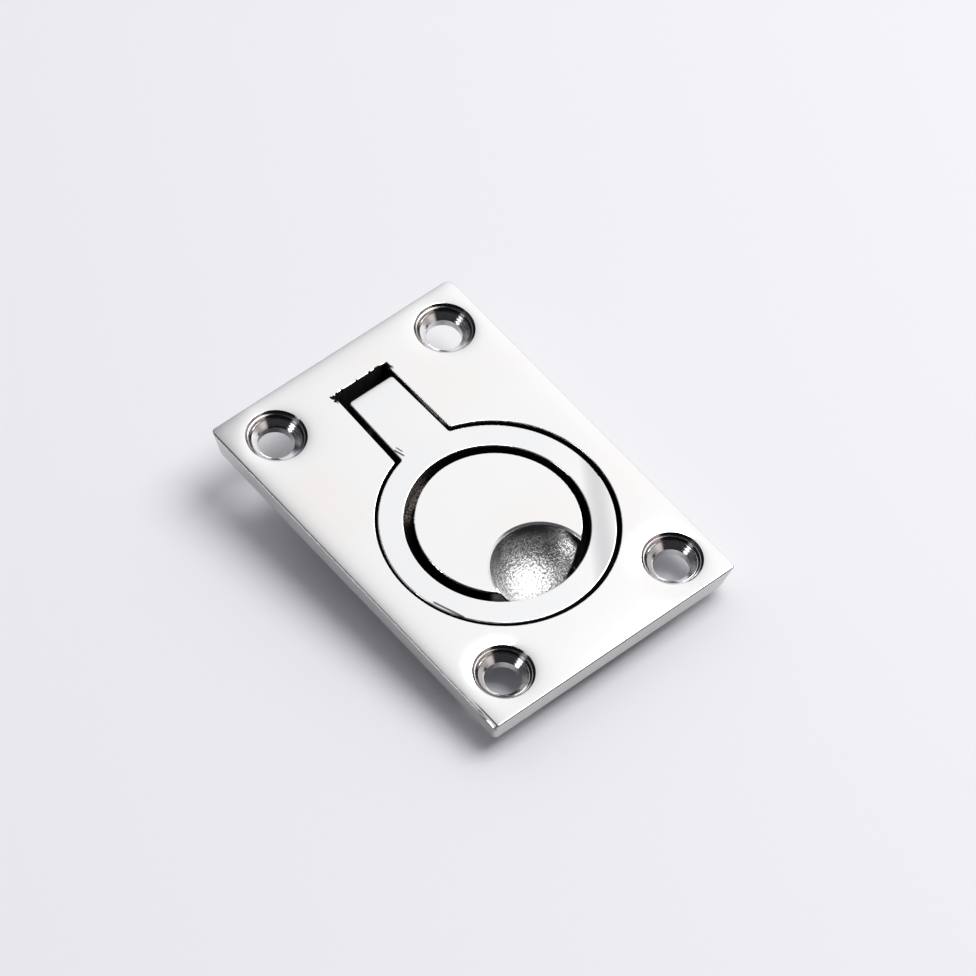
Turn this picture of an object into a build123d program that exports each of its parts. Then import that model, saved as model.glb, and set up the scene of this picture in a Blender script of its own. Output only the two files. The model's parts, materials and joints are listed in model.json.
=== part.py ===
from build123d import *
import math
import os

# Recessed hatch pull in polished stainless steel, sizes in millimetres.
# The origin is the middle of the four screw holes, on the flange's underside.
# X runs across the flange, Y along it towards the hinge, Z out of the hatch.

# Flange, whose rims run from the recess to its four edges
plate_thickness = 3.0
side_rim = 4.6
front_rim = 8.6
hinge_rim = 5.91
plate_edge = 0.15
plate_side_cast = -0.3

# Corner radii of the flange's face and, rounder, of its underside
face_corner_front_left = 0.4
face_corner_front_right = 0.3
face_corner_hinge_left = 0.5
face_corner_hinge_right = 1.2
under_corner_front_left = 0.8
under_corner_front_right = 3.0
under_corner_hinge_left = 3.0
under_corner_hinge_right = 2.4

# Four screw holes, whose cones are turned with narrow steps
screw_side_inset = 6.55
screw_end_inset = 6.45
screw_hole_radius = 2.7
screw_cone_radius = 4.5
screw_cone_angle = 90
screw_step_depths = (0.45, 0.85)
screw_step_width = 0.08

# Pull ring with its stem
ring_outer_radius = 17.05
ring_width = 3.65
ring_thickness = 3.3
ring_edge = 0.15
ring_under_edge = 0.6
ring_relief = 12.0
ring_side_cast = -0.2
stem_length = 11.9
stem_neck_width = 8.6
stem_end_width = 8.0
stem_side_cast = 0.2
stem_overhang = 3.8
stem_root = 0.5
stem_corner = 0.5

# Hinge
pin_radius = 1.25
pin_cover = 0.4
pin_end_chamfer = 0.3
pin_end_sink = 0.15
eye_wall = 1.35
eye_width = 6.4
eye_blend = 0.5
pin_running_gap = 0.05

# Gaps between the ring and its recess
ring_outer_gap = 0.6
ring_inner_gap = 1.4
ring_seat_gap = 0.2
stem_side_gap = 0.85
heel_gap = 0.15
heel_end_gap = 0.25
eye_gap = 0.45

# Recess
slot_corner = 0.6
neck_corner = 0.4
recess_edge = 0.1

# Finger scoop, a spherical dish that reaches under the ring
scoop_radius = 7.8
scoop_wall_gap = 0.15
scoop_depth = 5.4
scoop_edge = 0.25

# Casting behind the flange
cup_wall = 1.7
floor_wall = 1.8
disc_skin = 2.2
dome_wall = 1.8
block_wall = 1.6
cast_draft = 2.0
cast_edge = 0.8
dome_blend = 0.6

# Heights, counted from the underside of the flange
face_z = plate_thickness
groove_depth = ring_thickness + ring_seat_gap
groove_z = face_z - groove_depth
cup_z = groove_z - floor_wall
disc_back_z = face_z - disc_skin
pin_z = -pin_cover - pin_radius
ring_z = face_z - ring_thickness

# Radii about the ring's centre
ring_face_radius = ring_outer_radius + ring_edge * math.tan(math.radians(ring_relief))
ring_inner_radius = ring_outer_radius - ring_width
recess_radius = ring_outer_radius + ring_outer_gap
disc_radius = ring_inner_radius - ring_inner_gap
cup_radius = recess_radius + cup_wall
hollow_radius = disc_radius - cup_wall

# The stem's upper end edge sweeps an arc about the pin as the ring lifts
heel_y = stem_overhang - ring_edge
heel_z = face_z - pin_z - ring_edge
heel_swing = math.hypot(heel_y, heel_z) + ring_edge
pocket_z = pin_z - stem_overhang - heel_gap
block_z = pocket_z - block_wall

# Size of the flange round the keyhole, and the places along it
pin_reach = ring_outer_radius + stem_length - stem_overhang
slot_reach = pin_reach + heel_swing + heel_end_gap
plate_width = 2 * (recess_radius + side_rim)
plate_length = front_rim + recess_radius + slot_reach + hinge_rim
ring_centre_y = front_rim + recess_radius - plate_length / 2
pin_y = ring_centre_y + pin_reach
stem_end_y = pin_y + stem_overhang
slot_end_y = ring_centre_y + slot_reach
screw_spacing_x = plate_width - 2 * screw_side_inset
screw_spacing_y = plate_length - 2 * screw_end_inset
screw_cone_slope = math.tan(math.radians(screw_cone_angle / 2))

# Eye of the stem and the pocket it turns in
eye_radius = pin_radius + eye_wall
eye_root = stem_overhang - ring_under_edge
pocket_start_y = pin_y - eye_radius - eye_gap
block_start_y = pocket_start_y - block_wall
block_end_y = slot_end_y + block_wall

# Spheres of the scoop and of the dome behind it
scoop_y = ring_centre_y - recess_radius + scoop_wall_gap + scoop_radius
bowl_radius = scoop_radius - scoop_edge
scoop_sphere = (bowl_radius**2 + scoop_depth**2) / (2 * scoop_depth)
scoop_centre_z = face_z - scoop_depth + scoop_sphere
dome_sphere = scoop_sphere + dome_wall
scoop_axis = Axis((0, scoop_y, 0), (0, 0, 1))

# The stem and its slot widen evenly from the hinge end to the ring
stem_neck_y = ring_centre_y + ring_outer_radius
stem_start_y = ring_centre_y + ring_outer_radius - ring_width / 2


def stem_half_width(y):
    share = (y - stem_neck_y) / (stem_end_y - stem_neck_y)
    return (stem_neck_width + (stem_end_width - stem_neck_width) * share) / 2


def slot_half_width(y):
    return stem_half_width(y) + stem_side_gap


def slot_outline(start_y, end_y, half_width, shift=0):
    near = half_width(start_y)
    far = half_width(end_y)
    return [
        (shift - near, start_y),
        (shift + near, start_y),
        (shift + far, end_y),
        (shift - far, end_y),
    ]


block_width = 2 * slot_half_width(pocket_start_y) + 2 * block_wall
neck_start_y = ring_centre_y + disc_radius

with BuildPart() as recess_plate:
    # Flange, whose corners are sharp above and rounded below
    with BuildSketch():
        with Locations((plate_side_cast, 0)):
            Rectangle(plate_width, plate_length)
        fillet(vertices().filter_by(lambda v: v.X < 0 and v.Y < 0), under_corner_front_left)
        fillet(vertices().filter_by(lambda v: v.X > 0 and v.Y < 0), under_corner_front_right)
        fillet(vertices().filter_by(lambda v: v.X < 0 and v.Y > 0), under_corner_hinge_left)
        fillet(vertices().filter_by(lambda v: v.X > 0 and v.Y > 0), under_corner_hinge_right)
    with BuildSketch(Plane.XY.offset(face_z)):
        with Locations((plate_side_cast, 0)):
            Rectangle(plate_width, plate_length)
        fillet(vertices().filter_by(lambda v: v.X < 0 and v.Y < 0), face_corner_front_left)
        fillet(vertices().filter_by(lambda v: v.X > 0 and v.Y < 0), face_corner_front_right)
        fillet(vertices().filter_by(lambda v: v.X < 0 and v.Y > 0), face_corner_hinge_left)
        fillet(vertices().filter_by(lambda v: v.X > 0 and v.Y > 0), face_corner_hinge_right)
    loft()
    top_face = recess_plate.faces().sort_by(Axis.Z)[-1]
    fillet(top_face.edges(), plate_edge)

    # Drum behind the ring's groove, drafted for the mould
    with BuildSketch():
        with Locations((0, ring_centre_y)):
            Circle(cup_radius)
    extrude(amount=cup_z, taper=cast_draft)
    fillet(edges(Select.LAST).group_by(Axis.Z)[0], cast_edge)

    # Neck between the drum and the hinge block
    with BuildSketch():
        with Locations((0, neck_start_y)):
            Rectangle(block_width, block_start_y + block_wall - neck_start_y, align=(Align.CENTER, Align.MIN))
    extrude(amount=cup_z)

    # Block round the hinge pocket
    with BuildSketch():
        with Locations((0, block_start_y)):
            Rectangle(block_width, block_end_y - block_start_y, align=(Align.CENTER, Align.MIN))
        fillet(vertices(), cast_edge)
    extrude(amount=block_z, taper=cast_draft)
    fillet(edges(Select.LAST).group_by(Axis.Z)[0], cast_edge)

    # Hollow behind the flush disc
    with BuildSketch(Plane.XY.offset(cup_z)):
        with Locations((0, ring_centre_y)):
            Circle(hollow_radius)
    extrude(amount=disc_back_z - cup_z, mode=Mode.SUBTRACT)
    fillet(edges(Select.LAST).filter_by(GeomType.CIRCLE), cast_edge)

    # Dome behind the finger scoop
    with BuildSketch(Plane.XZ.offset(-scoop_y)):
        with Locations((0, scoop_centre_z)):
            Circle(dome_sphere)
        with Locations((0, disc_back_z)):
            Rectangle(dome_sphere, dome_sphere, align=(Align.MIN, Align.MAX), mode=Mode.INTERSECT)
    revolve(axis=scoop_axis)
    fillet(edges(Select.LAST), dome_blend)

    # Keyhole recess round the flush disc
    with BuildSketch(Plane.XY.offset(face_z)):
        with Locations((0, ring_centre_y)):
            Circle(recess_radius)
        Polygon(*slot_outline(stem_start_y, slot_end_y, slot_half_width), align=None)
        fillet(vertices().group_by(Axis.Y)[-2], neck_corner)
        fillet(vertices().group_by(Axis.Y)[-1], slot_corner)
        with Locations((0, ring_centre_y)):
            Circle(disc_radius, mode=Mode.SUBTRACT)
    extrude(amount=-groove_depth, mode=Mode.SUBTRACT)
    fillet(edges(Select.LAST).filter_by_position(Axis.Z, face_z, face_z), recess_edge)

    # Pocket in which the stem's heel swings down
    with BuildSketch(Plane.XY.offset(face_z)):
        Polygon(*slot_outline(pocket_start_y, slot_end_y, slot_half_width), align=None)
        fillet(vertices().group_by(Axis.Y)[-1], slot_corner)
    extrude(amount=pocket_z - face_z, mode=Mode.SUBTRACT)

    # Finger scoop
    with BuildSketch(Plane.XZ.offset(-scoop_y)):
        with Locations((0, scoop_centre_z)):
            Circle(scoop_sphere)
        with Locations((0, face_z)):
            Rectangle(scoop_sphere, scoop_sphere * 2, align=(Align.MIN, Align.MAX), mode=Mode.INTERSECT)
        Polygon(
            (0, face_z - scoop_edge),
            (bowl_radius - scoop_edge / 2, face_z - scoop_edge),
            (scoop_radius, face_z),
            (0, face_z),
            align=None,
        )
    revolve(axis=scoop_axis, mode=Mode.SUBTRACT)

    # Screw holes
    with Locations(Plane.XY.offset(face_z)):
        with GridLocations(screw_spacing_x, screw_spacing_y, 2, 2):
            CounterSinkHole(screw_hole_radius, screw_cone_radius, counter_sink_angle=screw_cone_angle)
            for depth in screw_step_depths:
                step_radius = screw_cone_radius - depth * screw_cone_slope + screw_step_width
                CounterBoreHole(screw_hole_radius, step_radius, depth)

    # Bore for the hinge pin through both cheeks of the block
    with BuildSketch(Plane.YZ):
        with Locations((pin_y, pin_z)):
            Circle(pin_radius)
    extrude(amount=block_width / 2, both=True, mode=Mode.SUBTRACT)

recess_plate.part.label = "recess_plate"

with BuildPart() as pull_ring:
    # Disc of the ring, whose side leans in downwards to pass the rim as it lifts
    with BuildSketch(Plane.XY.offset(face_z)):
        with Locations((ring_side_cast, ring_centre_y)):
            Circle(ring_face_radius)
    extrude(amount=-ring_thickness, taper=ring_relief)

    # Stem, blended into the ring at its roots
    with BuildSketch(Plane.XY.offset(face_z)):
        Polygon(*slot_outline(stem_start_y, stem_end_y, stem_half_width, stem_side_cast), align=None)
        fillet(vertices().group_by(Axis.Y)[-1], stem_corner)
    extrude(amount=-ring_thickness)
    roots = edges(Select.NEW).filter_by_position(Axis.Z, ring_z, face_z, inclusive=(False, False))
    fillet(roots, stem_root)

    # Opening of the ring, and the rounded edges above and below
    with BuildSketch(Plane.XY.offset(face_z)):
        with Locations((ring_side_cast, ring_centre_y)):
            Circle(ring_inner_radius)
    extrude(amount=-ring_thickness, mode=Mode.SUBTRACT)
    fillet(edges().filter_by_position(Axis.Z, face_z, face_z), ring_edge)
    fillet(edges().filter_by_position(Axis.Z, ring_z, ring_z), ring_under_edge)

    # Eye under the stem
    with BuildSketch(Plane.YZ.offset(stem_side_cast)):
        with Locations((pin_y, pin_z)):
            Circle(eye_radius)
        with Locations((pin_y, ring_z)):
            Rectangle(2 * eye_root, ring_thickness / 2, align=(Align.CENTER, Align.MIN))
        fillet(vertices().filter_by(lambda v: abs(v.X - pin_y) < eye_radius), eye_blend)
    extrude(amount=eye_width / 2, both=True)

    # Running bore for the pin
    with BuildSketch(Plane.YZ):
        with Locations((pin_y, pin_z)):
            Circle(pin_radius + pin_running_gap)
    extrude(amount=eye_width, both=True, mode=Mode.SUBTRACT)

pull_ring.part.label = "pull_ring"

with BuildPart() as hinge_pin:
    # Plain pin, a little short of the block's cheeks at both ends
    with BuildSketch(Plane.YZ):
        with Locations((pin_y, pin_z)):
            Circle(pin_radius)
    extrude(amount=block_width / 2 - pin_end_sink, both=True)
    chamfer(hinge_pin.edges().filter_by(GeomType.CIRCLE), pin_end_chamfer)

hinge_pin.part.label = "hinge_pin"

os.makedirs("parts", exist_ok=True)
export_step(recess_plate.part, "parts/recess_plate.step")
export_step(pull_ring.part, "parts/pull_ring.step")
export_step(hinge_pin.part, "parts/hinge_pin.step")
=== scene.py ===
import json
import math

import bpy
from mathutils import Matrix, Vector


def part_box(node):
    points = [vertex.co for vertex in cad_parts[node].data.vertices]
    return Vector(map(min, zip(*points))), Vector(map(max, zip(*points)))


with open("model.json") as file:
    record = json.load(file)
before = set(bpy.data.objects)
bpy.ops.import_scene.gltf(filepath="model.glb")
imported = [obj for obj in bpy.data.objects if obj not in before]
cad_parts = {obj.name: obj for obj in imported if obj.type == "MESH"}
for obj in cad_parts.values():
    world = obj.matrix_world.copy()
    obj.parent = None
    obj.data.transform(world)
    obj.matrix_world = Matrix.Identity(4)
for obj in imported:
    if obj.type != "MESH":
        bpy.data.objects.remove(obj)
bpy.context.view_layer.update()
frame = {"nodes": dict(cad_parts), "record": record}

bl_info = {
    "name": "Recessed Hatch Pull",
    "version": (1, 0, 0),
    "blender": (4, 5, 0),
    "location": "View3D > Sidebar > Hatch Pull",
    "description": "Finishes a flush ring pull in polished stainless steel and lights it on a pale floor",
    "category": "Object",
}

MM = 0.001

# Places on the part in millimetres, read from the frame
PLATE_LOW, PLATE_HIGH = (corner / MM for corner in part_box("recess_plate"))
RING_LOW, RING_HIGH = (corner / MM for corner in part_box("pull_ring"))
FACE_Z = PLATE_HIGH.z
PLATE_MIDDLE_X = (PLATE_LOW.x + PLATE_HIGH.x) / 2
PLATE_HALF_WIDTH = (PLATE_HIGH.x - PLATE_LOW.x) / 2
PLATE_HALF_LENGTH = PLATE_HIGH.y
SCREWS = next(m for m in frame["record"]["mounts"] if m["name"] == "screw_holes")["dims"]
SCREW_X = SCREWS["spacing_x_mm"] / 2
SCREW_Y = SCREWS["spacing_y_mm"] / 2
RING_OUTER = (RING_HIGH.x - RING_LOW.x) / 2
RING_X = (RING_LOW.x + RING_HIGH.x) / 2
RING_Y = RING_LOW.y + RING_OUTER
STEM_END_Y = RING_HIGH.y

# Radii of a screw hole in millimetres: its bore, the inside of its outer band, and its cone
BORE_RADIUS = 2.7
BAND_RADIUS = 3.6
CONE_RADIUS = 4.5

# Places of the marks, in millimetres; a spot has a radius and a scratch has a width
WARM_SPOTS = (((-16.7, 14.2), 7.0), ((13.5, -20.0), 6.0))
FLOOR_FLECKS = ((-5.8, 6.6), 5.4)
RING_FLECKS = ((-5.5, 7.0), 5.5)
SCOOP_GLITTER = ((5.9, -12.8), 3.2)
SCOOP_HORN = ((-7.6, -14.9), 1.8)
# The rim shade mark is painted shade on the ring's face by its front left rim; the scratches are real marks.
RIM_SHADE_MARK = ((-16.1, -10.3), (-14.3, -15.0), 0.36)
SCRATCHES = (((-3.9, 13.1), (-3.4, 11.5), 0.24), ((-3.4, 13.3), (-3.1, 12.2), 0.16))

# Direction across the ring's face in which it rises
FRONT_RIGHT = (0.82, -0.57)

# What mirrors see of the studio: each card's direction, its bright and its whole half angle in
# degrees, and its colour
DARK_ROOM = (0.035, 0.035, 0.04, 1)
CARDS = (
    ((-0.30, 0.50, 0.80), 15, 42, (0.36, 0.36, 0.37, 1)),
    ((0.55, 0.75, 0.35), 10, 45, (0.30, 0.30, 0.32, 1)),
    ((0.34, -0.84, 0.42), 8, 21, (0.72, 0.67, 0.66, 1)),
    ((0.80, -0.55, 0.20), 8, 34, (0.46, 0.44, 0.44, 1)),
    ((-0.92, 0.22, 0.28), 4, 14, (7.0, 7.0, 7.1, 1)),
    ((0.73, 0.13, 0.67), 18, 50, (1.02, 1.02, 1.02, 1)),
)


class Wire:
    """A socket of a node tree that takes part in Python expressions."""

    def __init__(self, tree, socket=None):
        self.tree = tree
        self.socket = socket

    def node(self, kind, settings=None, inputs=None, output=0):
        """Adds a node, sets it up, fills its inputs, and gives one of its outputs."""
        made = self.tree.nodes.new(kind)
        for name, value in (settings or {}).items():
            setattr(made, name, value)
        for name, value in (inputs or {}).items():
            if isinstance(value, Wire):
                self.tree.links.new(value.socket, made.inputs[name])
            else:
                made.inputs[name].default_value = value
        return Wire(self.tree, made.outputs[output] if len(made.outputs) else None)

    def math(self, operation, *values):
        return self.node("ShaderNodeMath", {"operation": operation}, dict(enumerate(values)))

    def __add__(self, other):
        return self.math("ADD", self, other)

    def __radd__(self, other):
        return self.math("ADD", other, self)

    def __sub__(self, other):
        return self.math("SUBTRACT", self, other)

    def __rsub__(self, other):
        return self.math("SUBTRACT", other, self)

    def __mul__(self, other):
        return self.math("MULTIPLY", self, other)

    def __rmul__(self, other):
        return self.math("MULTIPLY", other, self)

    def __truediv__(self, other):
        return self.math("DIVIDE", self, other)

    def __abs__(self):
        return self.math("ABSOLUTE", self)

    def fade(self, start, end):
        """Goes smoothly from 0 at start to 1 at end; start may be the larger."""
        rising = self.node(
            "ShaderNodeMapRange",
            {"interpolation_type": "SMOOTHSTEP"},
            {"Value": self, "From Min": min(start, end), "From Max": max(start, end)},
        )
        return rising if start < end else 1 - rising

    def falloff(self, width):
        """1 at zero, falling off as an exponential over that width."""
        return self.math("EXPONENT", self / -width)

    def mix(self, low, high):
        """Goes from colour low to colour high as this value goes from 0 to 1."""
        return self.node(
            "ShaderNodeMix", {"data_type": "RGBA"}, {"Factor": self, 6: low, 7: high}, output=2
        )

    def blend(self, low, high):
        """Goes from number low to number high as this value goes from 0 to 1."""
        return (high - low) * self + low


def distance(x, y):
    return x.math("SQRT", x * x + y * y)


def greatest(first, *others):
    for other in others:
        first = first.math("MAXIMUM", first, other)
    return first


def least(first, second):
    return first.math("MINIMUM", first, second)


def lay(mask, top, bottom):
    """The top number where the mask is 1, the bottom one where it is 0."""
    return mask * top + (1 - mask) * bottom


def separate(vector):
    return [vector.node("ShaderNodeSeparateXYZ", {}, {0: vector}, output=i) for i in range(3)]


def start_material(name):
    """A fresh material, with its place on the part in millimetres."""
    material = bpy.data.materials.new(name)
    material.use_nodes = True
    material.node_tree.nodes.clear()
    graph = Wire(material.node_tree)
    place = graph.node("ShaderNodeTexCoord", output=3)
    place = graph.node("ShaderNodeVectorMath", {"operation": "SCALE"}, {0: place, "Scale": 1 / MM})
    return material, place


def finish_material(graph, color, roughness, metallic, height):
    """Closes a material; height is in millimetres and becomes its bump."""
    normal = graph.node("ShaderNodeBump", {}, {"Height": height, "Strength": 1.0, "Distance": MM})
    surface = graph.node(
        "ShaderNodeBsdfPrincipled",
        {},
        {"Base Color": color, "Roughness": roughness, "Metallic": metallic, "Normal": normal},
    )
    graph.node("ShaderNodeOutputMaterial", {}, {"Surface": surface})


def noise(place, scale, detail=3.0, roughness=0.5, stretch=(1, 1, 1)):
    """Cloudy noise from 0 to 1; scale is in lumps to the millimetre."""
    place = place.node("ShaderNodeVectorMath", {"operation": "MULTIPLY"}, {0: place, 1: stretch})
    return place.node(
        "ShaderNodeTexNoise", {}, {"Vector": place, "Scale": scale, "Detail": detail, "Roughness": roughness}
    )


def line_noise(value, scale, detail=1.0):
    """Noise from 0 to 1 along one value; scale is in lumps to the millimetre."""
    return value.node(
        "ShaderNodeTexNoise", {"noise_dimensions": "1D"}, {"W": value, "Scale": scale, "Detail": detail}
    )


def spot(x, y, middle, radius):
    """1 in the middle of a soft round spot, 0 outside its radius."""
    return distance(x - middle[0], y - middle[1]).fade(radius, 0)


def streak(x, y, start, end, width):
    """1 along a straight scratch, 0 beyond its width."""
    ahead = Vector(end) - Vector(start)
    length = ahead.length
    ahead = ahead / length
    along = (x - start[0]) * ahead.x + (y - start[1]) * ahead.y
    across = (y - start[1]) * ahead.x - (x - start[0]) * ahead.y
    inside = along.fade(-width, width) * along.fade(length + width, length - width)
    return abs(across).fade(width, 0) * inside


def keyhole_rim(x, y, ragged, settings):
    """1 where the ragged end of the slot bites into the face."""
    slot_half = settings.slot_width / 2
    slot_end = STEM_END_Y + settings.slot_end_gap
    ragged = ragged * (1 - spot(x, y, (slot_half, slot_end), 1.2).fade(0.0, 0.3))
    across = abs(x) - slot_half - ragged
    beyond = y - slot_end - ragged
    return greatest(across, beyond).fade(0.06, 0.0) * y.fade(STEM_END_Y + 0.6, STEM_END_Y + 1.4)


def inside_keyhole(x, y, z, settings):
    """1 on the walls and floors of the groove, the slot and the hinge pocket."""
    from_ring = distance(x, y - RING_Y)
    outer = RING_OUTER + settings.recess_gap
    inner = settings.disc_radius
    off_disc = from_ring.fade(inner - 0.1, inner - 0.05)
    groove = from_ring.fade(outer + 0.1, outer + 0.05) * off_disc
    slot_half = settings.slot_width / 2
    slot_end = STEM_END_Y + settings.slot_end_gap
    slot = abs(x).fade(slot_half + 0.1, slot_half) * y.fade(RING_Y, RING_Y + 1)
    slot = slot * y.fade(slot_end + 0.15, slot_end + 0.05) * off_disc
    above_floor = z.fade(-0.7, -0.6)
    pocket = y.fade(STEM_END_Y - 7.2, STEM_END_Y - 7) * z.fade(-6.3, -6.2)
    return greatest(groove * above_floor, slot * greatest(above_floor, pocket))


def polished_casting(settings):
    """Mirror polish on the face, turned screw holes, a cast scoop and a cast back."""
    material, place = start_material("polished_casting")
    x, y, z = separate(place)
    depth = FACE_Z - z
    side = abs(x - PLATE_MIDDLE_X)
    end = abs(y)
    side_gap = PLATE_HALF_WIDTH - side
    end_gap = PLATE_HALF_LENGTH - end
    from_screw = distance(abs(x) - SCREW_X, end - SCREW_Y)
    from_scoop = distance(x, y - settings.scoop_y)
    sphere_z = FACE_Z - settings.scoop_depth + settings.scoop_sphere
    shell = abs(distance(from_scoop, z - sphere_z) - settings.scoop_sphere)

    # Where each surface lies
    below = depth.fade(0.3, 0.5)
    scoop = shell.fade(0.2, 0.1) * depth.fade(0.2, 0.35)
    in_cone = from_screw.fade(CONE_RADIUS + 0.25, CONE_RADIUS + 0.15)
    in_bore = from_screw.fade(BORE_RADIUS + 0.2, BORE_RADIUS + 0.1)
    turned = in_cone * depth.fade(0.0, 0.03) * z.fade(-0.1, 0.0)
    turned = turned * greatest(z.fade(0.0, 0.1), in_bore)
    rim = least(side_gap, end_gap).fade(0.8, 0.6) * (1 - turned)
    edge = rim * depth.fade(0.12, 0.2) * z.fade(-0.05, 0.02)
    from_left = x - PLATE_LOW.x
    from_corner = y - PLATE_LOW.y
    bevel = from_left.fade(0.4, 0.2) * depth.fade(0.2, 0.3) * depth.fade(0.75, 0.6)
    glint = from_left.fade(0.4, 0.2) * depth.fade(0.03, 0.1) * depth.fade(1.1, 0.8)
    glint = glint * from_corner.fade(4.0, 1.6)
    corner_line = from_left.fade(0.5, 0.42) * from_left.fade(0.22, 0.3) * from_corner.fade(6.0, 3.0)
    # Painted shade: a fine dark line along the top edges, and one on the face near the front left corner,
    # stands in for the dark reflection in the small rounded edges.
    painted_edge_shade = rim * depth.fade(0.02, 0.06) * depth.fade(0.32, 0.2) * (1 - glint)
    painted_edge_shade = greatest(painted_edge_shade, corner_line * depth.fade(0.03, 0.01))
    keyhole = inside_keyhole(x, y, z, settings) * below * (1 - scoop)
    back = below * (1 - greatest(turned, edge, keyhole, scoop))

    # Patterns and marks
    clouds = noise(place, 0.05, detail=2.0)
    fine = noise(place, 5.0, detail=4.0, roughness=0.6)
    peel = noise(place, 3.8, detail=3.0, roughness=0.65)
    skin = noise(place, 0.9, detail=5.0, roughness=0.65)
    ragged = noise(place, 1.4, detail=2.0, roughness=0.6).fade(0.35, 0.7) * 0.32 - 0.06
    # The ragged end of the slot is painted on the flat face in the gap's painted shade.
    bites = keyhole_rim(x, y, ragged, settings) * (1 - below)
    profile = from_screw + z
    bore = turned * from_screw.fade(BORE_RADIUS + 0.25, BORE_RADIUS + 0.1)
    screw_x = (x - x.math("SIGN", x) * SCREW_X) / from_screw
    screw_y = (y - y.math("SIGN", y) * SCREW_Y) / from_screw
    outer_cone = from_screw.fade(BAND_RADIUS - 0.05, BAND_RADIUS + 0.05)
    # Painted shade: the outer band on the +X side of each cone is coloured dark.
    dark_side = outer_cone * screw_x.fade(0.2, 0.5)
    # Painted shade: the outer band on the +Y side of each cone, and the -X side of the two cones at -Y, are
    # coloured darker.
    left_cone_shade = y.fade(-20.0, -23.0) * screw_y.fade(-0.3, 0.3) * screw_x.fade(-0.2, -0.6)
    shaded_cone_side = greatest(outer_cone * screw_y.fade(-0.5, 0.0), left_cone_shade)
    # Painted shade: the far wall of the bore of the hole at -X, +Y is coloured dark.
    hole_shade = bore * spot(x, y, (-SCREW_X + 1.6, SCREW_Y + 1.6), 3.6)
    scoop_back = x + y - settings.scoop_y
    glitter = spot(x, y, *SCOOP_GLITTER)
    smooth_rim = from_scoop.fade(6.0, 6.7) * x.fade(-0.5, -3.5)
    shaded = depth.fade(2.6, 0.8) * scoop_back.fade(5.0, 9.5) * (1 - glitter)
    from_ring = distance(x, y - RING_Y)
    beyond_disc = from_ring.fade(settings.disc_radius - 0.6, settings.disc_radius - 0.3)
    # Painted shade on the scoop's wall by the groove on its +X side, and at its +X end.
    scoop_wall = scoop * greatest(beyond_disc * x.fade(3.0, 4.0), x.fade(6.5, 7.1))
    left_wall = turned * screw_x.fade(-0.25, -0.75) * from_screw.fade(BAND_RADIUS + 0.15, BAND_RADIUS - 0.05)
    slot_half = settings.slot_width / 2
    # Painted highlight: a broken light line on the slot's +X wall, with its relief tilted up.
    wall_line = keyhole * x.fade(slot_half - 0.25, slot_half - 0.1)
    wall_line = wall_line * depth.fade(0.3, 0.4) * depth.fade(1.1, 0.9)
    wall_line = wall_line * y.fade(RING_Y + RING_OUTER, RING_Y + RING_OUTER + 1.9)
    wall_line = wall_line * line_noise(y, 1.2, detail=2.0).fade(0.2, 0.4)
    # Painted highlight: a pale patch in the groove by the scoop's -X end, made diffuse and tilted up by the
    # relief so that the key lights it.
    horn = keyhole * spot(x, y, *SCOOP_HORN).fade(0.0, 0.6) * z.fade(0.4, 1.4)
    # Painted highlight: lighter specks on the groove's floor on the ring's -X, +Y side.
    floor_flecks = spot(x, y, *FLOOR_FLECKS).fade(0.0, 0.5) * noise(place, 5.0, detail=3.0).fade(0.4, 0.6)
    floor_flecks = floor_flecks * z.fade(0.0, -0.3)
    floor_flecks = floor_flecks * from_ring.fade(settings.disc_radius + 0.4, settings.disc_radius + 0.8)

    # Colours
    color = clouds.fade(0.45, 0.75).mix(settings.steel, settings.warm_steel)
    for middle, radius in WARM_SPOTS:
        color = spot(x, y, middle, radius).mix(color, settings.warm_steel)
    color = edge.mix(color, settings.ground_steel)
    color = bevel.mix(color, settings.steel)
    # Painted shade of the dark line along the top edges
    color = painted_edge_shade.mix(color, settings.painted_edge_shade)
    turned_color = line_noise(profile, 4.0, detail=3.0).fade(0.3, 0.6)
    turned_color = turned_color.mix(settings.bored_steel, settings.turned_steel)
    turned_color = shaded_cone_side.mix(turned_color, settings.cone_shade)
    turned_color = dark_side.mix(turned_color, settings.hole_shade)
    color = turned.mix(color, turned_color)
    color = bore.mix(color, settings.bore_wall)
    color = hole_shade.mix(color, settings.hole_shade)
    wrinkled = greatest(peel.fade(0.35, 0.6), smooth_rim).mix(settings.wrinkle, settings.cast_steel)
    color = scoop.mix(color, shaded.mix(wrinkled, settings.scoop_shade))
    color = back.mix(color, skin.fade(0.3, 0.75).mix(settings.back_steel, settings.cast_steel))
    # Painted shade: the groove, the slot and the hinge pocket are coloured near black as the shade in these
    # deep, narrow places, with faint lighter flecks.
    gap_shading = fine.fade(0.55, 0.85).mix(settings.gap_shading, settings.gap_shade_fleck)
    gap_shading = greatest(floor_flecks * 0.4, wall_line).mix(gap_shading, settings.painted_glint)
    # The pale patch by the scoop is a painted highlight.
    gap_shading = (horn * fine.fade(0.2, 0.6)).mix(gap_shading, settings.scale)
    # The painted shade also covers the ragged end of the slot and the scoop's wall by the groove.
    color = greatest(keyhole, bites, scoop_wall).mix(color, gap_shading)

    # Roughness
    roughness = fine.blend(0.03, 0.07)
    roughness = lay(edge, fine.blend(0.22, 0.3), roughness)
    roughness = lay(turned, fine.blend(0.06, 0.16), roughness)
    roughness = lay(scoop, fine.blend(0.17, 0.25) * (1 - glitter * 0.65), roughness)
    roughness = lay(back, fine.blend(0.4, 0.55), roughness)
    roughness = lay(keyhole, fine.blend(0.45, 0.7), roughness)
    roughness = lay(glint, 0.08, roughness)

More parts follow.
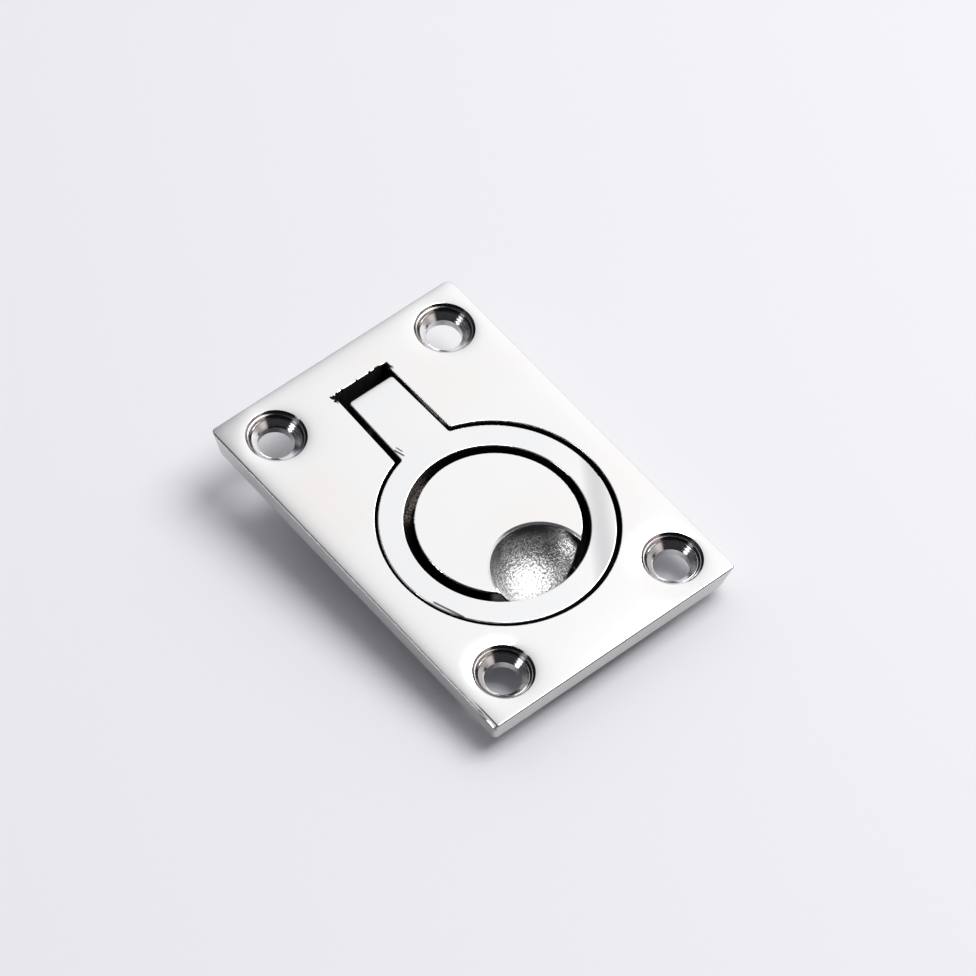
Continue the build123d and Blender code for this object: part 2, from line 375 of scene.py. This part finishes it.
    # Relief and metal
    side_roll = side_gap.falloff(settings.roll_width) * (settings.side_slope * settings.roll_width)
    far_gap = PLATE_HALF_LENGTH - y
    end_roll = far_gap.falloff(settings.roll_width) * (settings.end_slope * settings.roll_width)
    corner_roll = spot(x, y, (PLATE_LOW.x, PLATE_HIGH.y), 7.0) * settings.corner_drop
    lip = greatest(from_screw - CONE_RADIUS, 0.0).falloff(settings.lip_width)
    lip = lip * (settings.lip_slope * settings.lip_width)
    face = 1 - below
    waves = noise(place, 0.07, detail=1.0) * settings.wave_height
    rings = line_noise(profile, 3.0, detail=3.0) * depth.fade(0.1, 0.3) * settings.ring_height
    height = face * (waves - side_roll - end_roll - corner_roll - lip) + turned * (rings + fine * 0.003)
    height = height + scoop * peel * (1 - smooth_rim) * (1 - glitter * 0.4) * settings.peel_height
    height = height + back * (skin * 0.06 + fine * 0.006) - horn * z * 1.2
    height = height + bevel * depth * 0.45 + glint * (depth * 0.45 + from_corner * 0.15)
    height = height + left_wall * (3.2 - from_screw) * 0.5 + wall_line * depth * 0.9
    metallic = 1 - greatest(horn, face * (1 - turned) * settings.polishing_haze)
    finish_material(place, color, roughness, metallic, height)
    return material


def polished_ring(settings):
    """Mirror polish on the ring's crowned face and a darker satin on its sides and eye."""
    material, place = start_material("polished_ring")
    x, y, z = separate(place)
    depth = FACE_Z - z
    below = depth.fade(0.2, 0.4)
    fine = noise(place, 5.0, detail=4.0, roughness=0.6)
    clouds = noise(place, 0.05, detail=2.0)
    from_middle = distance(x - RING_X, y - RING_Y)
    inset = from_middle - (RING_OUTER - settings.ring_width / 2)

    color = clouds.fade(0.4, 0.7).mix(settings.ring_steel, settings.steel)
    side_color = fine.fade(0.4, 0.8).mix(settings.ring_side, settings.ground_steel)
    # Painted highlight: pale specks on the ring's side near the groove's -X, +Y part, made diffuse so that
    # they catch the light.
    flecks = spot(x, y, *RING_FLECKS) * noise(place, 3.2, detail=2.0).fade(0.5, 0.62)
    side_color = flecks.mix(side_color, settings.scale)
    color = below.mix(color, side_color)
    # Painted shade: a dark crescent on the ring's face by its -X, -Y rim, where the rolled rim shows a
    # darker reflection.
    rim_shade = streak(x, y, *RIM_SHADE_MARK).fade(0.1, 0.9) * inset.fade(1.0, 1.3)
    color = rim_shade.mix(color, settings.scratch_and_shade)
    # Real scratches near the stem, in the same dark colour.
    scratches = greatest(*(streak(x, y, *scratch) for scratch in SCRATCHES))
    color = scratches.fade(0.0, 0.7).mix(color, settings.scratch_and_shade)
    roughness = lay(below, fine.blend(0.25, 0.4), fine.blend(0.03, 0.08))
    waves = noise(place, 0.06, detail=1.0) * settings.wave_height
    front_right = x * FRONT_RIGHT[0] + (y - RING_Y) * FRONT_RIGHT[1]
    lean = front_right.fade(12.4, 16.8) * settings.lean_height
    stem_roll = (STEM_END_Y - y).falloff(0.45) * 0.14
    height = (1 - below) * (waves + lean - stem_roll) + below * fine * 0.004
    metallic = 1 - greatest(flecks * below, (1 - below) * settings.polishing_haze)
    finish_material(place, color, roughness, metallic, height)
    return material


def drawn_pin(settings):
    """Drawn wire with fine lines along it."""
    material, place = start_material("drawn_pin")
    lines = noise(place, 6.0, detail=3.0, stretch=(0.05, 1, 1))
    color = lines.mix(settings.ground_steel, settings.back_steel)
    finish_material(place, color, lines.blend(0.2, 0.4), 1.0, lines * 0.003)
    return material


def color_property(name, description, default):
    return bpy.props.FloatVectorProperty(
        name=name, description=description, default=default, size=4, min=0, subtype="COLOR"
    )


def number_property(name, description, default, **more):
    return bpy.props.FloatProperty(name=name, description=description, default=default, **more)


class HatchPullFinish(bpy.types.PropertyGroup):
    """Colours and surface detail; lengths are in millimetres on the part."""

    steel: color_property("Polished steel", "Face of the plate", (0.95, 0.948, 0.95, 1))
    warm_steel: color_property("Warm steel", "Faint warm clouds in the polish", (0.95, 0.92, 0.905, 1))
    ring_steel: color_property("Ring steel", "Face of the ring", (0.92, 0.925, 0.935, 1))
    ring_side: color_property("Ring side", "Sides of the ring below its face", (0.18, 0.18, 0.19, 1))
    ground_steel: color_property("Ground steel", "Ground side faces of the plate", (0.62, 0.61, 0.60, 1))
    turned_steel: color_property("Turned steel", "Cones of the screw holes", (0.88, 0.87, 0.87, 1))
    bored_steel: color_property("Bored steel", "Darker rings in the cones", (0.50, 0.49, 0.49, 1))
    bore_wall: color_property("Bore wall", "Straight part of the screw holes", (0.70, 0.69, 0.69, 1))
    # Painted shade colour on parts of the cones
    cone_shade: color_property("Shadowed steel", "Outer band and dimmed left of the cones", (0.46, 0.43, 0.42, 1))
    # Painted shade colour in the screw holes
    hole_shade: color_property("Hole shade", "Dark painted shade in the screw holes", (0.13, 0.13, 0.14, 1))
    # Colour of the real scratches and of the painted shade by the ring's rim
    scratch_and_shade: color_property("Scratch and shade", "Ground mark and scratches on the ring", (0.14, 0.14, 0.15, 1))
    # Painted highlight colour of the pale specks on the ring's side and of the patch by the scoop
    scale: color_property("Scale", "Pale scale by the groove and the scoop", (0.62, 0.58, 0.52, 1))
    wrinkle: color_property("Wrinkles", "Darker wrinkles of the scoop's skin", (0.24, 0.24, 0.24, 1))
    # Painted shade colour of the dark line along the top edges
    painted_edge_shade: color_property("Edge shade", "Fine dark line along the top edges", (0.05, 0.05, 0.055, 1))
    # Painted shade colour under the scoop's back rim
    scoop_shade: color_property("Scoop shade", "Shadowed skin under the scoop's back rim", (0.10, 0.10, 0.11, 1))
    cast_steel: color_property("Cast steel", "Skin of the finger scoop", (0.90, 0.90, 0.90, 1))
    back_steel: color_property("Cast back", "Skin behind the flange", (0.34, 0.34, 0.345, 1))
    # Painted shade colour in the groove, the slot and the hinge pocket
    gap_shading: color_property("Gap shade", "Dark skin in the groove and the pocket", (0.006, 0.005, 0.005, 1))
    gap_shade_fleck: color_property("Grime flecks", "Lighter flecks in that skin", (0.05, 0.04, 0.035, 1))
    # Painted highlight colour of the specks in the groove and the line on the slot's wall
    painted_glint: color_property("Glinting steel", "Specks in the groove and the slot", (0.42, 0.37, 0.34, 1))
    recess_gap: number_property("Recess gap", "From the ring to the wall of its recess", 0.6)
    disc_radius: number_property("Disc radius", "Radius of the flush disc", 12.0)
    slot_width: number_property("Slot width", "Width of the slot for the stem", 10.3)
    slot_end_gap: number_property("Slot end gap", "From the stem's end to the slot's end", 2.3)
    scoop_y: number_property("Scoop place", "Middle of the finger scoop along the flange", -15.2)
    scoop_depth: number_property("Scoop depth", "Depth of the finger scoop", 5.4)
    scoop_sphere: number_property("Scoop sphere", "Radius of the scoop's sphere", 7.98)
    roll_width: number_property("Roll width", "How far the polish rolls over at an edge", 1.2)
    side_slope: number_property("Side slope", "Slope of the polish right at a long edge", 0.17)
    end_slope: number_property("End slope", "Slope of the polish right at the hinge end", 0.25)
    lip_width: number_property("Lip width", "How far the polish sinks round a screw hole", 0.9)
    lip_slope: number_property("Lip slope", "Slope of the polish right at a screw hole", 0.14)
    corner_drop: number_property("Corner drop", "How far the polish sinks at the left corner", 0.3)
    wave_height: number_property("Wave height", "Height of the slow waves in the polish", 0.03)
    ring_width: number_property("Ring width", "Width of the ring's band", 3.65)
    lean_height: number_property("Lean", "Rise of the ring's face at its front right", 0.3)
    ring_height: number_property("Turning marks", "Height of the turned rings in the holes", 0.01)
    polishing_haze: number_property("Polishing haze", "Light that the polish scatters all round", 0.1)
    peel_height: number_property("Peel height", "Height of the cast texture in the scoop", 0.13)


class HatchPullStudio(bpy.types.PropertyGroup):
    """Camera, lights and floor."""

    azimuth: number_property("Azimuth", "Turn of the camera", math.radians(-45.6385), subtype="ANGLE")
    elevation: number_property("Elevation", "Height of the camera", math.radians(55.3125), subtype="ANGLE")
    roll: number_property("Roll", "Roll of the camera", math.radians(6.795), subtype="ANGLE")
    distance: number_property("Distance", "From the camera to its target", 0.9029, unit="LENGTH")
    lens: number_property("Lens", "Focal length in millimetres", 233.4)
    target: bpy.props.FloatVectorProperty(
        name="Target",
        description="Point in the middle of the picture",
        default=(0.00258, -0.0001, 0.003),
        size=3,
        subtype="TRANSLATION",
    )
    key_direction: bpy.props.FloatVectorProperty(
        name="Key direction",
        description="Direction from the part to the key lamp",
        default=(0.469, -0.025, 0.883),
        size=3,
        subtype="DIRECTION",
    )
    overhead_direction: bpy.props.FloatVectorProperty(
        name="Overhead direction",
        description="Direction from which the soft light comes",
        default=(0.62, 0.66, 0.42),
        size=3,
        subtype="DIRECTION",
    )
    key_distance: number_property("Key distance", "From the part to the key lamp", 1.1, unit="LENGTH")
    key_size: number_property("Key size", "Diameter of the key lamp", 0.84, unit="LENGTH")
    key_watts: number_property("Key power", "Power of the key lamp", 9.3, unit="POWER")
    ambient: color_property("Ambient", "Faint light from all round", (0.17, 0.171, 0.196, 1))
    overhead: color_property("Overhead", "Soft light from behind the part", (0.92, 0.92, 0.94, 1))
    backdrop: color_property("Backdrop", "Colour behind the floor", (0.83, 0.84, 0.875, 1))
    floor: color_property("Floor", "Colour of the floor", (0.81, 0.81, 0.835, 1))
    floor_size: number_property("Floor size", "Length of the floor's side", 1.6, unit="LENGTH")


def finish_settings():
    return bpy.context.scene.hatch_pull_finish


def studio_settings():
    return bpy.context.scene.hatch_pull_studio


def dress(node, material):
    """Gives a node of the frame its material."""
    shown = frame["nodes"][node]
    if not shown.material_slots:
        shown.data.materials.append(material)
    for slot in shown.material_slots:
        slot.material = material


def resting_line():
    """Slope and height at y = 0 of the floor line under the plate, seen along X."""
    plate = frame["nodes"]["recess_plate"].data
    lowest = {}
    for vertex in plate.vertices:
        y, z = round(vertex.co.y, 6), vertex.co.z
        lowest[y] = min(z, lowest.get(y, z))
    hull = []
    for y, z in sorted(lowest.items()):
        while len(hull) > 1 and turns_up(hull[-2], hull[-1], (y, z)):
            hull.pop()
        hull.append((y, z))
    near, far = next((a, b) for a, b in zip(hull, hull[1:]) if a[0] <= 0 < b[0])
    slope = (far[1] - near[1]) / (far[0] - near[0])
    return slope, near[1] - slope * near[0]


def turns_up(a, b, c):
    """True where b lies on or above the line from a to c."""
    return (b[1] - a[1]) * (c[0] - a[0]) >= (c[1] - a[1]) * (b[0] - a[0])


class HATCHPULL_OT_plate(bpy.types.Operator):
    """Finishes the recessed plate"""

    bl_idname = "hatchpull.plate"
    bl_label = "Recessed plate"

    def execute(self, context):
        dress("recess_plate", polished_casting(finish_settings()))
        return {"FINISHED"}


class HATCHPULL_OT_ring(bpy.types.Operator):
    """Finishes the pull ring"""

    bl_idname = "hatchpull.ring"
    bl_label = "Pull ring"

    def execute(self, context):
        dress("pull_ring", polished_ring(finish_settings()))
        return {"FINISHED"}


class HATCHPULL_OT_pin(bpy.types.Operator):
    """Finishes the hinge pin"""

    bl_idname = "hatchpull.pin"
    bl_label = "Hinge pin"

    def execute(self, context):
        dress("hinge_pin", drawn_pin(finish_settings()))
        return {"FINISHED"}


def studio_card(graph, direction, middle, inner, outer):
    """Soft round patch of light round a direction; angles in degrees."""
    towards = graph.node(
        "ShaderNodeVectorMath",
        {"operation": "DOT_PRODUCT"},
        {0: direction, 1: Vector(middle).normalized()},
        output=1,
    )
    return towards.fade(math.cos(math.radians(outer)), math.cos(math.radians(inner)))


def light_world(settings):
    """Ambient light, a pale backdrop for the camera, and soft cards for the mirror."""
    world = bpy.data.worlds.new("studio")
    world.use_nodes = True
    world.node_tree.nodes.clear()
    bpy.context.scene.world = world
    graph = Wire(world.node_tree)
    direction = graph.node("ShaderNodeTexCoord", output=0)
    mirrored = DARK_ROOM
    for middle, inner, outer, color in CARDS:
        mirrored = studio_card(graph, direction, middle, inner, outer).mix(mirrored, color)
    ambient = studio_card(graph, direction, settings.overhead_direction, 20, 80)
    ambient = ambient.mix(settings.ambient, settings.overhead)
    camera_ray = graph.node("ShaderNodeLightPath", output=0)
    glossy_ray = graph.node("ShaderNodeLightPath", output=3)
    seen = glossy_ray.mix(ambient, mirrored)
    seen = camera_ray.mix(seen, settings.backdrop)
    background = graph.node("ShaderNodeBackground", {}, {"Color": seen})
    graph.node("ShaderNodeOutputWorld", {}, {"Surface": background})


def add_key(settings):
    """The key lamp, a soft round box above the part and to its right."""
    towards = Vector(settings.key_direction).normalized()
    facing = towards.to_track_quat("Z", "Y").to_euler()
    bpy.ops.object.light_add(type="AREA", location=towards * settings.key_distance, rotation=facing)
    lamp = bpy.context.object
    lamp.name = "key_lamp"
    lamp.data.shape = "DISK"
    lamp.data.size = settings.key_size
    lamp.data.energy = settings.key_watts


def add_floor(settings):
    """The floor under the part, which leans back on its scoop and its hinge block."""
    slope, height = resting_line()
    bpy.ops.mesh.primitive_plane_add(
        size=settings.floor_size, location=(0, 0, height), rotation=(math.atan(slope), 0, 0)
    )
    floor = bpy.context.object
    floor.name = "floor"
    bpy.ops.object.transform_apply(location=True, rotation=True, scale=True)
    material, place = start_material("floor_paper")
    grain = noise(place, 0.8, detail=4.0)
    finish_material(place, settings.floor, 0.7, 0.0, grain * 0.01)
    floor.data.materials.append(material)


def add_camera(settings):
    """The camera at the picture's angle."""
    azimuth, elevation, roll = settings.azimuth, settings.elevation, settings.roll
    back = Vector((
        math.sin(azimuth) * math.cos(elevation),
        -math.cos(azimuth) * math.cos(elevation),
        math.sin(elevation),
    ))
    level = Vector((math.cos(azimuth), math.sin(azimuth), 0))
    right = level * math.cos(roll) + back.cross(level) * math.sin(roll)
    turn = Matrix((right, back.cross(right), back)).transposed()
    bpy.ops.object.camera_add(
        location=Vector(settings.target) + back * settings.distance, rotation=turn.to_euler()
    )
    camera = bpy.context.object
    camera.name = "camera"
    camera.data.lens = settings.lens
    bpy.context.scene.camera = camera


class HATCHPULL_OT_stage(bpy.types.Operator):
    """Sets the floor, the lights and the camera"""

    bl_idname = "hatchpull.stage"
    bl_label = "Floor, lights and camera"

    def execute(self, context):
        settings = studio_settings()
        light_world(settings)
        add_key(settings)
        add_floor(settings)
        add_camera(settings)
        context.scene.view_settings.view_transform = "Standard"
        return {"FINISHED"}


OPERATORS = (HATCHPULL_OT_plate, HATCHPULL_OT_ring, HATCHPULL_OT_pin, HATCHPULL_OT_stage)


class HATCHPULL_PT_panel(bpy.types.Panel):
    """Lists the pieces of the hatch pull"""

    bl_label = "Hatch Pull"
    bl_idname = "HATCHPULL_PT_panel"
    bl_space_type = "VIEW_3D"
    bl_region_type = "UI"
    bl_category = "Hatch Pull"

    def draw(self, context):
        for operator in OPERATORS:
            self.layout.operator(operator.bl_idname)
        for group in (finish_settings(), studio_settings()):
            for name in group.__annotations__:
                self.layout.prop(group, name)


CLASSES = (HatchPullFinish, HatchPullStudio, *OPERATORS, HATCHPULL_PT_panel)


def register():
    for made in CLASSES:
        bpy.utils.register_class(made)
    bpy.types.Scene.hatch_pull_finish = bpy.props.PointerProperty(type=HatchPullFinish)
    bpy.types.Scene.hatch_pull_studio = bpy.props.PointerProperty(type=HatchPullStudio)


def unregister():
    del bpy.types.Scene.hatch_pull_studio
    del bpy.types.Scene.hatch_pull_finish
    for made in reversed(CLASSES):
        bpy.utils.unregister_class(made)


def main():
    register()
    bpy.ops.hatchpull.plate()
    bpy.ops.hatchpull.ring()
    bpy.ops.hatchpull.pin()
    bpy.ops.hatchpull.stage()


if __name__ == "__main__":
    main()
